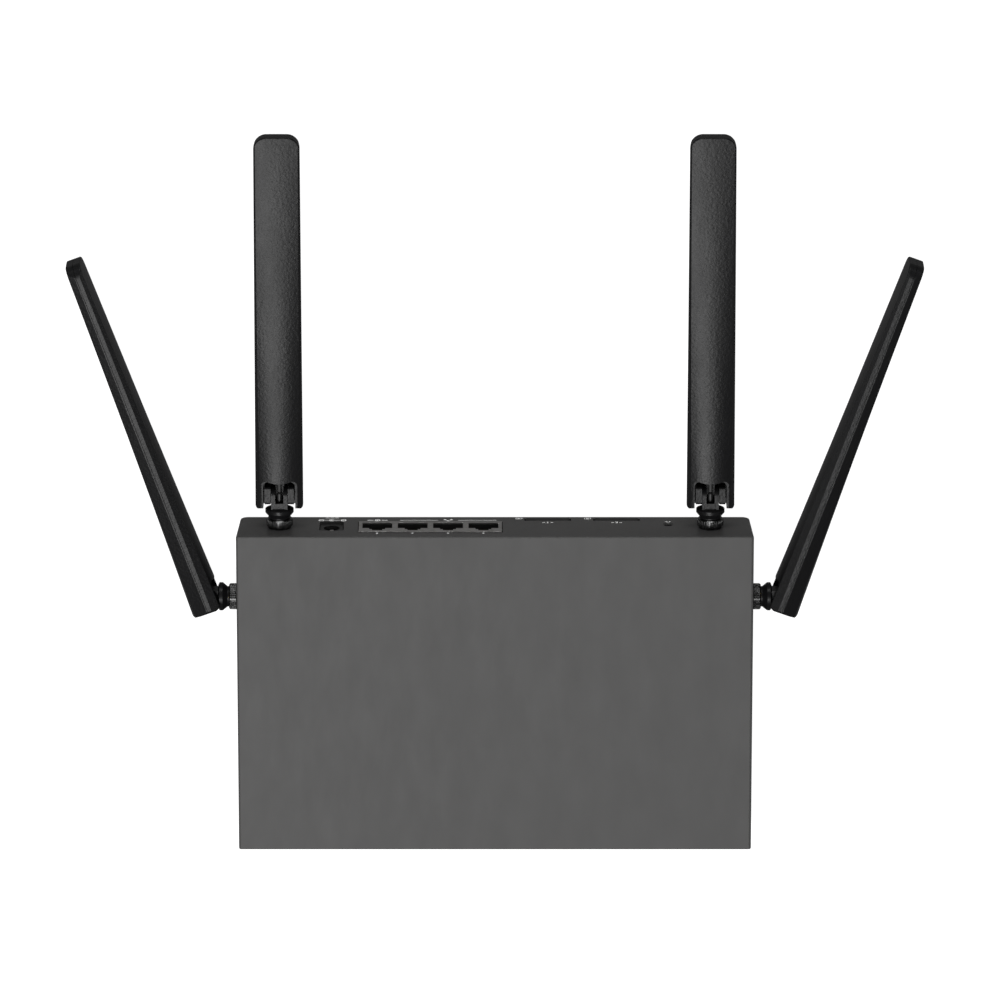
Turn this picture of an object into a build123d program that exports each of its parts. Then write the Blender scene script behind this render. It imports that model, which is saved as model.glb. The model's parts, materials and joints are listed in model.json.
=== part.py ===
from build123d import *

import math
import os

# A slim box router that lies on rubber feet.
# +X is to the right and +Y to the rear, where the sockets are; the floor is z = 0.
# The origin is on the floor, midway between the case's front and the rear antennas' tips.

# Driving dimensions, in millimetres and degrees.
CASE_WIDTH = 204.0          # across the top, the widest place
CASE_DEPTH = 131.0          # outer face of the front wall to outer face of the rear wall
CASE_HEIGHT = 26.0
SIDE_DRAFT = 3.0            # the side walls lean in towards the bottom
TOP_EDGE_RADIUS = 1.0
BOTTOM_EDGE_RADIUS = 3.0
END_EDGE_RADIUS = 0.5       # round the front and rear walls
WALL = 2.2                  # side walls, floor and lid
END_WALL = 2.5              # front and rear walls
LID_RIM = 1.0               # the lid's visible edge, which lies on the walls
FEET_HEIGHT = 1.8
SEAM = 0.12                 # gap between mating shells
FIT = 0.3                   # gap round a part that passes through a wall

BOARD_THICK = 1.6
BOARD_WIDTH = 176.0
BOARD_DEPTH = 94.0
BOARD_GAP = 2.7             # floor to the board's underside

JACK_PITCH = 13.97          # centre to centre of neighbouring network sockets
PORTS = 4
GANG_X = -25.5              # middle of the row of network sockets
GANG_WIDTH = 56.5
GANG_HEIGHT = 12.8
GANG_DEPTH = 21.0
SHIELD_THICK = 0.5

POWER_X = -64.5
POWER_WIDTH = 9.0
POWER_HEIGHT = 11.0
POWER_DEPTH = 14.0
POWER_PIN_RADIUS = 1.0
POWER_BORE_RADIUS = 3.2

SIM_X = (20.9, 48.1)
SIM_WIDTH = 18.0
SIM_DEPTH = 19.0
SIM_HEIGHT = 1.9

RESET_X = 68.5
RESET_RADIUS = 1.7
RESET_ABOVE_BOARD = 3.2

ANTENNA_X = 85.0            # rear antennas, either side of the middle
SIDE_ANTENNA_BACK = 28.9    # side antennas, forward of the rear panel
SIDE_LEAN = 20.0            # side paddles lean out from the rearward direction
PIN_STANDOFF = 13.5         # outer wall to hinge pin
PADDLE_REACH = 146.6        # hinge pin to tip
PADDLE_HEEL = 4.8           # hinge pin to the paddle's lower end
TIP_RADIUS = 5.0

# Stations of the connector, outward from the wall, and the radii there.
FLANGE_OUT = 0.5
NUT_START = 0.6
BARREL_OUT = 1.95
NUT_END = 3.9
CONE_START = 4.5
RIM_START = 6.4
RIM_END = 7.7
BEVEL_END = 8.2
NUT_RADIUS = 5.2
BARREL_RADIUS = 3.1
NECK_RADIUS = 4.05
RIM_RADIUS = 5.6
FERRULE_RADIUS = 2.2
RUNNING = 0.05              # radial clearance of what turns
LEAD_RADIUS = 0.9

FORK_HALF = 3.25            # half the fork's width and half its thickness
FORK_GAP_HALF = 1.6
LUG_INNER = 3.4
LUG_OUTER = 5.8
LUG_HALF = 3.35
LUG_LENGTH = (-3.3, 4.0)
HINGE_PIN_RADIUS = 1.0
RECESS_HALF = 7.15
RECESS_TOP = 7.0
RECESS_STEP = 0.85          # border round the recess, lower than the face
RECESS_STEP_Z = 3.4

CASE_BOTTOM = FEET_HEIGHT
CASE_TOP = CASE_BOTTOM + CASE_HEIGHT
FLOOR_TOP = CASE_BOTTOM + WALL
REAR = (CASE_DEPTH - PIN_STANDOFF - PADDLE_REACH) / 2
FRONT = REAR - CASE_DEPTH
INNER_REAR = REAR - END_WALL
INNER_FRONT = FRONT + END_WALL
AXIS_Z = CASE_BOTTOM + CASE_HEIGHT / 2
DRAFT_TAN = math.tan(math.radians(SIDE_DRAFT))
BOARD_BOTTOM = FLOOR_TOP + BOARD_GAP
BOARD_TOP = BOARD_BOTTOM + BOARD_THICK
BOARD_REAR = INNER_REAR - 1.2
BOARD_FRONT = BOARD_REAR - BOARD_DEPTH
GANG_BOTTOM = BOARD_TOP + 0.4
PORT_X = [GANG_X + JACK_PITCH * (i - (PORTS - 1) / 2) for i in range(PORTS)]
WALL_AT_AXIS = CASE_WIDTH / 2 - DRAFT_TAN * CASE_HEIGHT / 2
RESET_Z = BOARD_TOP + RESET_ABOVE_BOARD

os.makedirs("parts", exist_ok=True)


def block(x, y, z):
    """A box between two values on each axis."""
    centre = [(a + b) / 2 for a, b in (x, y, z)]
    size = [abs(b - a) for a, b in (x, y, z)]
    return Pos(*centre) * Box(*size)


def rod_y(radius, x, z, y):
    """A cylinder along Y between two values of y."""
    return Pos(x, sum(y) / 2, z) * Rot(90, 0, 0) * Cylinder(radius, abs(y[1] - y[0]))


def rod_z(radius, x, y, z):
    """A cylinder along Z between two values of z."""
    return Pos(x, y, sum(z) / 2) * Cylinder(radius, abs(z[1] - z[0]))


def rod_x(radius, y, z, x):
    """A cylinder along X between two values of x."""
    return Pos(sum(x) / 2, y, z) * Rot(0, 90, 0) * Cylinder(radius, abs(x[1] - x[0]))


def group(solids):
    """Separate solids that share one node."""
    return Compound(children=[s for piece in solids for s in piece.solids()])


def save(name, shape):
    """Writes one node."""
    export_step(shape, os.path.join("parts", name + ".step"))


def case_section(inset=0.0, top=CASE_TOP):
    """The case's cross-section on the XZ plane: a box that narrows to the bottom."""
    low = CASE_BOTTOM + inset
    top_half = CASE_WIDTH / 2 - inset - DRAFT_TAN * (CASE_TOP - top)
    low_half = CASE_WIDTH / 2 - inset - DRAFT_TAN * (CASE_TOP - low)
    corners = [(-low_half, low), (low_half, low), (top_half, top), (-top_half, top)]
    face = make_face(Polyline(*corners, close=True))
    vertices = face.vertices().sort_by(Axis.Y)
    return fillet(vertices[:2], max(BOTTOM_EDGE_RADIUS - inset, 0.6))


def case_prism(inset, y, top=CASE_TOP):
    """The cross-section carried along Y between two values of y."""
    flat = extrude(case_section(inset, top), amount=abs(y[1] - y[0]))
    return Pos(0, max(y), 0) * Rot(90, 0, 0) * flat


def case_body():
    """The whole case as one rounded solid, before it is divided into base and lid."""
    body = case_prism(0, (FRONT, REAR))
    sides = body.faces().sort_by(Axis.Z)[-1].edges().filter_by(Axis.Y)
    body = fillet(sides, TOP_EDGE_RADIUS)
    for end in (0, -1):
        body = fillet(body.faces().sort_by(Axis.Y)[end].edges(), END_EDGE_RADIUS)
    return body


# ---------------------------------------------------------------- case

SCREW_SPOTS = [(x, y) for x in (-94.0, 94.0) for y in (FRONT + 9.0, REAR - 10.5)]
BOARD_SPOTS = [(x, y) for x in (-82.0, 82.0) for y in (BOARD_FRONT + 5.0, BOARD_REAR - 24.0)]
FOOT_SPOTS = [(x, y) for x in (-78.0, 78.0) for y in (FRONT + 17.0, REAR - 14.0)]
KEYHOLE_X = 50.0
KEYHOLE_Y = FRONT + 17.0
KEYHOLE_RADIUS = 4.0
KEYHOLE_SLOT_RADIUS = 2.0
KEYHOLE_SLOT = 7.0
FOOT_RADIUS = 6.0
FOOT_RECESS = 0.8
SCREW_SHAFT = 1.4
SCREW_HEAD = 2.7
SCREW_RECESS = 1.3
POST_RADIUS = 3.4
BOSS_RADIUS = 3.0
JACK_HOLE = BARREL_RADIUS + 0.1
SPLIT_Z = CASE_TOP - LID_RIM
LIP = 1.2                   # thickness of the lid's inner lip, which hangs inside the walls
LED_X = [-25.0 + 10.0 * i for i in range(6)]
LED_WINDOW = (4.0, 1.6)
LED_Z = BOARD_TOP + 2.2


def top_lid():
    """Flat lid: a rounded rim on the walls, a lip inside them, and the screw posts."""
    rim_z = (SPLIT_Z, CASE_TOP + 1)
    lid = case_body() & block((-150, 150), (FRONT - 5, REAR + 5), rim_z)
    inside_y = (INNER_FRONT + SEAM, INNER_REAR - SEAM)
    plug = case_prism(WALL + SEAM, inside_y, SPLIT_Z + 0.2)
    hollow_y = (inside_y[0] + LIP, inside_y[1] - LIP)
    hollow = case_prism(WALL + SEAM + LIP, hollow_y, SPLIT_Z + 0.2)
    roof_z = (CASE_TOP - WALL, CASE_TOP)
    lid = lid + (plug & block((-150, 150), inside_y, roof_z))
    lip_z = (CASE_TOP - WALL - 1.6, CASE_TOP - WALL + 0.1)
    lip = (plug - hollow) & block((-150, 150), inside_y, lip_z)
    # the lip is relieved over the network sockets
    lip = lip - block((GANG_X - 31, GANG_X + 31), (INNER_REAR - 5, INNER_REAR), lip_z)
    lid = lid + lip
    for x, spot_y in SCREW_SPOTS:
        post = rod_z(POST_RADIUS, x, spot_y, (FLOOR_TOP + SEAM, CASE_TOP - WALL + 0.1))
        rib_z = (CASE_TOP - WALL - 9.0, CASE_TOP - WALL + 0.1)
        rib = block((x - math.copysign(7.0, x), x), (spot_y - 0.8, spot_y + 0.8), rib_z)
        lid = lid + post + rib
        lid = lid - rod_z(SCREW_SHAFT, x, spot_y, (FLOOR_TOP, FLOOR_TOP + 9.0))
    for x in (-60.0, 0.0, 60.0):
        rib_y = (INNER_FRONT + 6, INNER_REAR - 26)
        rib_z = (CASE_TOP - WALL - 1.2, CASE_TOP - WALL + 0.1)
        lid = lid + block((x - 0.6, x + 0.6), rib_y, rib_z)
    return lid


def vent_rows():
    """Slots through the floor, in three rows below the board."""
    slots = []
    for row in range(3):
        y = BOARD_FRONT + 20.0 + 20.0 * row
        for column in range(17):
            x = -56.0 + 7.0 * column
            slot = extrude(SlotOverall(13.0, 2.4, rotation=90), amount=WALL + 2)
            slots.append(Pos(x, y, CASE_BOTTOM - 1) * slot)
    return slots


def keyhole(x):
    """A wall screw's head enters the round end, and its shank slides along the slot."""
    entry = Cylinder(KEYHOLE_RADIUS, WALL + 2)
    slot_end = Pos(0, -KEYHOLE_SLOT, 0) * Cylinder(KEYHOLE_SLOT_RADIUS, WALL + 2)
    bar = Pos(0, -KEYHOLE_SLOT / 2, 0) * Box(2 * KEYHOLE_SLOT_RADIUS, KEYHOLE_SLOT, WALL + 2)
    return Pos(x, KEYHOLE_Y, CASE_BOTTOM + WALL / 2) * (entry + slot_end + bar)


def base_blank():
    """The base's floor and four walls, open at the top."""
    lower = block((-150, 150), (FRONT - 5, REAR + 5), (CASE_BOTTOM - 1, SPLIT_Z - SEAM))
    hollow = case_prism(WALL, (INNER_FRONT, INNER_REAR), CASE_TOP + 2)
    return (case_body() & lower) - hollow


def floor_details(base):
    """Screw holes, board bosses, foot recesses, vents and keyholes."""
    for x, spot_y in SCREW_SPOTS:
        base = base - rod_z(SCREW_SHAFT + 0.3, x, spot_y, (CASE_BOTTOM - 1, FLOOR_TOP + 1))
        recess = (CASE_BOTTOM - 1, CASE_BOTTOM + SCREW_RECESS)
        base = base - rod_z(SCREW_HEAD + 0.3, x, spot_y, recess)
    for x, spot_y in BOARD_SPOTS:
        base = base + rod_z(BOSS_RADIUS, x, spot_y, (FLOOR_TOP - 0.5, BOARD_BOTTOM))
        base = base - rod_z(0.95, x, spot_y, (CASE_BOTTOM + 1.0, BOARD_BOTTOM + 1))
    for x, spot_y in FOOT_SPOTS:
        recess = (CASE_BOTTOM - 1, CASE_BOTTOM + FOOT_RECESS)
        base = base - rod_z(FOOT_RADIUS + 0.1, x, spot_y, recess)
    for slot in vent_rows():
        base = base - slot
    for x in (-KEYHOLE_X, KEYHOLE_X):
        base = base - keyhole(x)
    return base


def side_wall_details(base):
    """The hole, inner pad and outer spot face for each side antenna's connector."""
    for side in (-1, 1):
        pad_x = (side * (WALL_AT_AXIS - WALL - 0.4), side * (WALL_AT_AXIS - WALL + 0.8))
        base = base + rod_x(6.5, REAR - SIDE_ANTENNA_BACK, AXIS_Z, pad_x)
        hole_x = (side * (CASE_WIDTH / 2 - 6), side * (CASE_WIDTH / 2 + 2))
        base = base - rod_x(JACK_HOLE, REAR - SIDE_ANTENNA_BACK, AXIS_Z, hole_x)
        # a flat spot face squares the leaning wall to the connector
        face_x = (side * WALL_AT_AXIS, side * (WALL_AT_AXIS + 3))
        base = base - rod_x(NUT_RADIUS + 0.5, REAR - SIDE_ANTENNA_BACK, AXIS_Z, face_x)
    return base


def front_wall_details(base):
    """A row of small windows for the lights."""
    for x in LED_X:
        half = LED_WINDOW[0] / 2 + 0.1
        tall = LED_WINDOW[1] / 2 + 0.1
        y = (FRONT - 1, INNER_FRONT + 1)
        base = base - block((x - half, x + half), y, (LED_Z - tall, LED_Z + tall))
    return base


def rounded_hole(x, z, radius):
    """A rounded rectangle through the rear wall, between two values of x and of z."""
    sketch = RectangleRounded(x[1] - x[0], z[1] - z[0], radius)
    hole = Rot(90, 0, 0) * extrude(sketch, amount=6, both=True)
    return Pos((x[0] + x[1]) / 2, REAR, (z[0] + z[1]) / 2) * hole


SIM_TOP = BOARD_BOTTOM - 0.05
SIM_BOTTOM = SIM_TOP - SIM_HEIGHT


def rear_wall_details(base):
    """Every socket's opening and the two rear antennas' holes."""
    gang_x = (GANG_X - GANG_WIDTH / 2 - FIT, GANG_X + GANG_WIDTH / 2 + FIT)
    gang_z = (GANG_BOTTOM - FIT, GANG_BOTTOM + GANG_HEIGHT + FIT)
    base = base - rounded_hole(gang_x, gang_z, 0.3)
    power_x = (POWER_X - POWER_WIDTH / 2 - FIT, POWER_X + POWER_WIDTH / 2 + FIT)
    power_z = (BOARD_TOP - FIT, BOARD_TOP + POWER_HEIGHT + FIT)
    base = base - rounded_hole(power_x, power_z, 1.4)
    for x in SIM_X:
        slot_x = (x - SIM_WIDTH / 2 - FIT, x + SIM_WIDTH / 2 + FIT)
        base = base - rounded_hole(slot_x, (SIM_BOTTOM - FIT, SIM_TOP + FIT), 0.4)
        # a sloping lead-in below the slot guides the card
        ramp = Polyline(
            (REAR + 0.1, SIM_BOTTOM - FIT - 0.9),
            (REAR + 0.1, SIM_BOTTOM),
            (REAR - 1.6, SIM_BOTTOM),
            (REAR - 1.6, SIM_BOTTOM - FIT),
            close=True,
        )
        lead_in = extrude(Plane.YZ * make_face(ramp), amount=SIM_WIDTH / 2 - 0.6, both=True)
        base = base - Pos(x, 0, 0) * lead_in
    base = base - rod_y(RESET_RADIUS, RESET_X, RESET_Z, (REAR - 6, REAR + 2))
    rim = Cone(RESET_RADIUS - 0.2, RESET_RADIUS + 0.6, 0.8)
    base = base - Pos(RESET_X, REAR - 0.35, RESET_Z) * Rot(-90, 0, 0) * rim
    for side in (-1, 1):
        base = base - rod_y(JACK_HOLE, side * ANTENNA_X, AXIS_Z, (REAR - 6, REAR + 2))
    return base


def base_shell():
    """The deep lower half of the case, with everything that is cut in it."""
    base = floor_details(base_blank())
    base = side_wall_details(base)
    base = front_wall_details(base)
    return rear_wall_details(base)


def rubber_feet():
    """Round pads stuck in the base's recesses."""
    feet = []
    for x, y in FOOT_SPOTS:
        foot = rod_z(FOOT_RADIUS, x, y, (0, CASE_BOTTOM + FOOT_RECESS))
        foot = fillet(foot.faces().sort_by(Axis.Z)[0].edges(), 0.6)
        feet.append(foot)
    return group(feet)


def cross_slot(depth):
    """The cross cut in a screw's head."""
    return Box(2.6, 0.6, depth) + Box(0.6, 2.6, depth)


def case_screws():
    """Self-tapping screws up through the base into the lid's posts."""
    screws = []
    for x, y in SCREW_SPOTS:
        head_z = (CASE_BOTTOM + 0.15, CASE_BOTTOM + SCREW_RECESS)
        head = rod_z(SCREW_HEAD, x, y, head_z) - Pos(x, y, head_z[0]) * cross_slot(1.2)
        shaft = rod_z(SCREW_SHAFT, x, y, (CASE_BOTTOM + SCREW_RECESS, FLOOR_TOP + 7.5))
        screws.append(head + shaft)
    return group(screws)


# ---------------------------------------------------------------- board

def main_board():
    """The circuit board, with its screw holes and through-holes."""
    half = BOARD_WIDTH / 2
    board = block((-half, half), (BOARD_FRONT, BOARD_REAR), (BOARD_BOTTOM, BOARD_TOP))
    board = fillet(board.edges().filter_by(Axis.Z), 2.0)
    for x, y in BOARD_SPOTS:
        board = board - rod_z(1.6, x, y, (BOARD_BOTTOM - 1, BOARD_TOP + 1))
    return board


def board_screws():
    """Pan-head screws that hold the board on its bosses."""
    screws = []
    for x, y in BOARD_SPOTS:
        head = rod_z(2.8, x, y, (BOARD_TOP, BOARD_TOP + 1.7))
        head = fillet(head.faces().sort_by(Axis.Z)[-1].edges(), 0.8)
        head = head - Pos(x, y, BOARD_TOP + 1.7) * cross_slot(1.6)
        screws.append(head + rod_z(0.95, x, y, (CASE_BOTTOM + 1.4, BOARD_TOP)))
    return group(screws)


PORT_HALF = 5.85
PORT_FLOOR = GANG_BOTTOM + 1.9
PORT_STEPS = ((PORT_HALF, 6.6), (3.1, 8.0), (2.0, 9.3))
CAVITY_DEPTH = 13.5
GANG_FRONT = REAR + 0.35    # the shield stands this far out of the wall


def port_shape(x, y, grow=0.0):
    """A network socket's opening: a wide body and two narrower steps for the latch."""
    shape = None
    for half, top in PORT_STEPS:
        z = (PORT_FLOOR - grow, PORT_FLOOR + top + grow)
        step = block((x - half - grow, x + half + grow), y, z)
        shape = step if shape is None else shape + step
    return shape


def ethernet_shield():
    """Stamped shell round the row of sockets, open below and pierced for each socket."""
    x = (GANG_X - GANG_WIDTH / 2, GANG_X + GANG_WIDTH / 2)
    z = (GANG_BOTTOM, GANG_BOTTOM + GANG_HEIGHT)
    y = (GANG_FRONT - GANG_DEPTH, GANG_FRONT)
    shell = block(x, y, z)
    t = SHIELD_THICK
    shell = shell - block((x[0] + t, x[1] - t), (y[0] + t, y[1] - t), (z[0] - 1, z[1] - t))
    for port in PORT_X:
        shell = shell - port_shape(port, (y[1] - 2, y[1] + 1), 0.05)
    for port in PORT_X:
        window = block((port - 3.5, port + 3.5), (y[0] + 5.0, y[0] + 9.0), (z[1] - 2, z[1] + 1))
        shell = shell - window
    return shell


def ethernet_housing():
    """Black plastic body with a cavity for each plug."""
    t = SHIELD_THICK + 0.05
    x = (GANG_X - GANG_WIDTH / 2 + t, GANG_X + GANG_WIDTH / 2 - t)
    y = (GANG_FRONT - GANG_DEPTH + t, GANG_FRONT - t)
    body = block(x, y, (GANG_BOTTOM, GANG_BOTTOM + GANG_HEIGHT - t))
    body = body + block(x, (y[0], INNER_REAR - 0.5), (BOARD_TOP, GANG_BOTTOM))
    for port in PORT_X:
        body = body - port_shape(port, (y[1] - CAVITY_DEPTH, y[1] + 1))
    return body


CONTACT_PITCH = 1.02
CONTACT_WIDTH = 0.45


def ethernet_contacts():
    """Eight sprung wires in each socket, sloping back from the mouth."""
    wires = []
    y_mouth = GANG_FRONT - SHIELD_THICK - 2.5
    y_back = GANG_FRONT - SHIELD_THICK - CAVITY_DEPTH
    for port in PORT_X:
        for pin in range(8):
            x = port + CONTACT_PITCH * (pin - 3.5)
            side = Polyline(
                (y_mouth, PORT_FLOOR + 0.02),
                (y_mouth, PORT_FLOOR + 0.35),
                (y_back, PORT_FLOOR + 2.3),
                (y_back, PORT_FLOOR + 1.9),
                (y_mouth - 1.2, PORT_FLOOR + 0.02),
                close=True,
            )
            wire = extrude(Plane.YZ * make_face(side), amount=CONTACT_WIDTH / 2, both=True)
            wires.append(Pos(x, 0, 0) * wire)
    return group(wires)


POWER_FACE = REAR - 0.9
POWER_AXIS_Z = BOARD_TOP + 5.4


def power_jack_housing():
    """Moulded inlet for a round power plug."""
    x = (POWER_X - POWER_WIDTH / 2, POWER_X + POWER_WIDTH / 2)
    y = (POWER_FACE - POWER_DEPTH, POWER_FACE)
    body = block(x, y, (BOARD_TOP, BOARD_TOP + POWER_HEIGHT))
    body = chamfer(body.edges().filter_by(Axis.Y), 0.8)
    body = body - rod_y(POWER_BORE_RADIUS, POWER_X, POWER_AXIS_Z, (y[1] - 9.5, y[1] + 1))
    return body - rod_y(POWER_PIN_RADIUS, POWER_X, POWER_AXIS_Z, (y[1] - 12.0, y[1]))


def power_jack_pin():
    """The inlet's round centre pin."""
    pin = rod_y(POWER_PIN_RADIUS, POWER_X, POWER_AXIS_Z, (POWER_FACE - 12.0, POWER_FACE - 0.8))
    return fillet(pin.faces().sort_by(Axis.Y)[-1].edges(), 0.6)


def power_jack_spring():
    """The leaf that presses on the plug's barrel, along the bore's floor."""
    y = (POWER_FACE - 9.4, POWER_FACE - 1.5)
    low = POWER_AXIS_Z - POWER_BORE_RADIUS
    return block((POWER_X - 0.8, POWER_X + 0.8), y, (low + 0.15, low + 0.45))


# ---------------------------------------------------------------- card sockets and reset

SIM_REAR = REAR - 1.9
CARD_HALF = 7.6
CARD_SLOT = (SIM_BOTTOM + 0.35, SIM_BOTTOM + 1.25)
SLIDER_TRAVEL = 1.5


def sim_frames():
    """Plastic bases of the two card sockets, against the board's underside."""
    frames = []
    for x in SIM_X:
        half = SIM_WIDTH / 2 - 0.35
        y = (SIM_REAR - SIM_DEPTH + 0.35, SIM_REAR - 0.1)
        frame = block((x - half, x + half), y, (CARD_SLOT[0], SIM_TOP))
        card = block((x - CARD_HALF, x + CARD_HALF), (y[0] + 1.2, y[1] + 1), CARD_SLOT)
        frame = frame - card
        # an open way at the right edge for the catch slider
        way = block((x + CARD_HALF - 0.1, x + half - 0.3), (y[0] + 1.2, y[1] + 1), CARD_SLOT)
        frames.append(frame - way)
    return group(frames)


def sim_shells():
    """Thin steel covers over the card sockets, open to the rear."""
    shells = []
    for x in SIM_X:
        half = SIM_WIDTH / 2
        y = (SIM_REAR - SIM_DEPTH, SIM_REAR)
        shell = block((x - half, x + half), y, (SIM_BOTTOM, SIM_TOP))
        inner_y = (y[0] + 0.3, y[1] + 1)
        inner_z = (SIM_BOTTOM + 0.3, SIM_TOP + 1)
        shell = shell - block((x - half + 0.3, x + half - 0.3), inner_y, inner_z)
        shells.append(shell)
    return group(shells)


def sim_contacts():
    """Six sprung gold blades in each card socket."""
    blades = []
    for x in SIM_X:
        for column in range(3):
            for row in range(2):
                blade_x = x - 2.54 + 2.54 * column
                blade_y = SIM_REAR - 8.0 - 5.0 * row
                z = (CARD_SLOT[1] - 0.22, CARD_SLOT[1] - 0.02)
                blade = block((blade_x - 0.5, blade_x + 0.5), (blade_y - 1.5, blade_y + 1.5), z)
                blades.append(blade)
    return group(blades)


def sim_slider(x):
    """The catch that a pushed card carries inwards."""
    half = SIM_WIDTH / 2 - 0.35
    x_range = (x + CARD_HALF + 0.1, x + half - 0.5)
    y = (SIM_REAR - SIM_DEPTH + 4.0, SIM_REAR - 5.0)
    z = (CARD_SLOT[0] + 0.1, CARD_SLOT[1] - 0.1)
    bar = block(x_range, y, z)
    toe = block((x + CARD_HALF - 2.0, x_range[1]), (y[0], y[0] + 1.0), z)
    return bar + toe


RESET_BODY_Y = (REAR - 9.6, REAR - 5.2)
PLUNGER_RADIUS = 1.45


def reset_switch_body():
    """Right-angle push switch on the board."""
    z = (BOARD_TOP, RESET_Z + 2.9)
    body = block((RESET_X - 3.0, RESET_X + 3.0), RESET_BODY_Y, z)
    return body - rod_y(PLUNGER_RADIUS + RUNNING, RESET_X, RESET_Z, (REAR - 9.0, REAR))


def reset_plunger():
    """The switch's button, reached through the wall with a pin."""
    plunger = rod_y(PLUNGER_RADIUS, RESET_X, RESET_Z, (REAR - 8.4, REAR - 1.2))
    return fillet(plunger.faces().sort_by(Axis.Y)[-1].edges(), 0.3)


# ---------------------------------------------------------------- parts on the board

CHIP_SPOT = (-20.0, BOARD_FRONT + 42.0)
CHIP_TOP = BOARD_TOP + 1.4
SINK_SIZE = (34.0, 30.0)
SINK_BASE = 1.8
SINK_TOP = CHIP_TOP + 0.3 + 9.0


def processor():
    """The main chip under the heat sink."""
    x, y = CHIP_SPOT
    return block((x - 9.5, x + 9.5), (y - 9.5, y + 9.5), (BOARD_TOP, CHIP_TOP))


def thermal_pad():
    """Soft pad between the chip and its heat sink."""
    x, y = CHIP_SPOT
    return block((x - 9.0, x + 9.0), (y - 9.0, y + 9.0), (CHIP_TOP, CHIP_TOP + 0.3))


def heat_sink():
    """Finned aluminium block on the main chip."""
    x, y = CHIP_SPOT
    half_x = SINK_SIZE[0] / 2
    half_y = SINK_SIZE[1] / 2
    low = CHIP_TOP + 0.3
    sink = block((x - half_x, x + half_x), (y - half_y, y + half_y), (low, low + SINK_BASE))
    for fin in range(9):
        fin_x = x - half_x + 0.6 + fin * (SINK_SIZE[0] - 1.2) / 8
        fin_z = (low + SINK_BASE - 0.1, SINK_TOP)
        sink = sink + block((fin_x - 0.6, fin_x + 0.6), (y - half_y, y + half_y), fin_z)
    return sink


def shield_cans():
    """Tinned covers over the radio circuits."""
    cans = []
    for x, y, width, depth in ((28.0, BOARD_FRONT + 48.0, 38.0, 26.0),
                               (-62.0, BOARD_FRONT + 18.0, 26.0, 30.0)):
        can = block((x - width / 2, x + width / 2), (y - depth / 2, y + depth / 2),
                    (BOARD_TOP, BOARD_TOP + 2.6))
        can = fillet(can.edges().filter_by(Axis.Z), 1.0)
        hollow = block((x - width / 2 + 0.3, x + width / 2 - 0.3),
                       (y - depth / 2 + 0.3, y + depth / 2 - 0.3),
                       (BOARD_TOP - 1, BOARD_TOP + 2.3))
        cans.append(can - hollow)
    return group(cans)


def modem_module():
    """The mobile-network module, a soldered card under its own can."""
    x, y = (60.0, BOARD_FRONT + 18.0)
    return block((x - 14.5, x + 14.5), (y - 16.0, y + 16.0), (BOARD_TOP, BOARD_TOP + 2.8))


def memory_chips():
    """Two flat memory packages in front of the main chip."""
    chips = []
    for x in (-12.0, 6.0):
        y = BOARD_FRONT + 16.0
        chips.append(block((x - 5.0, x + 5.0), (y - 6.5, y + 6.5), (BOARD_TOP, BOARD_TOP + 1.1)))
    return group(chips)


def power_coils():
    """Square shielded coils of the supply, with a round core showing on top."""
    coils = []
    for y in (REAR - 42.0, REAR - 53.0):
        x = -45.0
        coil = block((x - 4.0, x + 4.0), (y - 4.0, y + 4.0), (BOARD_TOP, BOARD_TOP + 3.8))
        coil = chamfer(coil.edges().filter_by(Axis.Z), 1.0)
        ring = rod_z(3.2, x, y, (BOARD_TOP + 3.4, BOARD_TOP + 4.0))
        ring = ring - rod_z(2.7, x, y, (BOARD_TOP + 3.4, BOARD_TOP + 4.0))
        coils.append(coil - ring)
    return group(coils)


def magnetics():
    """Isolating transformers in front of the network sockets."""
    blocks = []
    for x in (PORT_X[0] + JACK_PITCH / 2, PORT_X[2] + JACK_PITCH / 2):
        y = GANG_FRONT - GANG_DEPTH - 9.0
        blocks.append(block((x - 8.0, x + 8.0), (y - 4.5, y + 4.5), (BOARD_TOP, BOARD_TOP + 5.6)))
    return group(blocks)


def capacitors():
    """Upright electrolytic cans beside the power inlet."""
    cans = []
    for x, y in ((POWER_X, REAR - 24.0), (POWER_X - 11.0, REAR - 24.0), (POWER_X, REAR - 35.0)):
        can = rod_z(4.0, x, y, (BOARD_TOP, BOARD_TOP + 11.0))
        cans.append(fillet(can.faces().sort_by(Axis.Z)[-1].edges(), 0.6))
    return group(cans)


def status_leds():
    """Side-view lamps at the board's front edge."""
    lamps = []
    for x in LED_X:
        z = (BOARD_TOP, LED_Z + 0.8)
        lamps.append(block((x - 1.4, x + 1.4), (BOARD_FRONT + 0.4, BOARD_FRONT + 2.6), z))
    return group(lamps)


def light_guide():
    """One clear moulding: a bar for each lamp and a tie that joins the bars."""
    half = LED_WINDOW[0] / 2
    tall = LED_WINDOW[1] / 2
    z = (LED_Z - tall, LED_Z + tall)
    tie_y = (INNER_FRONT + 8.0, INNER_FRONT + 10.0)
    guide = block((LED_X[0] - half, LED_X[-1] + half), tie_y, z)
    for x in LED_X:
        guide = guide + block((x - half, x + half), (FRONT + 0.1, BOARD_FRONT + 0.2), z)
    return guide


# ---------------------------------------------------------------- antenna connectors

def revolve_y(points):
    """A solid of revolution about Y from (radius, y) points, as a straight-edged profile."""
    return revolve(make_face(Polyline(*points, close=True)), Axis.Y)


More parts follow.
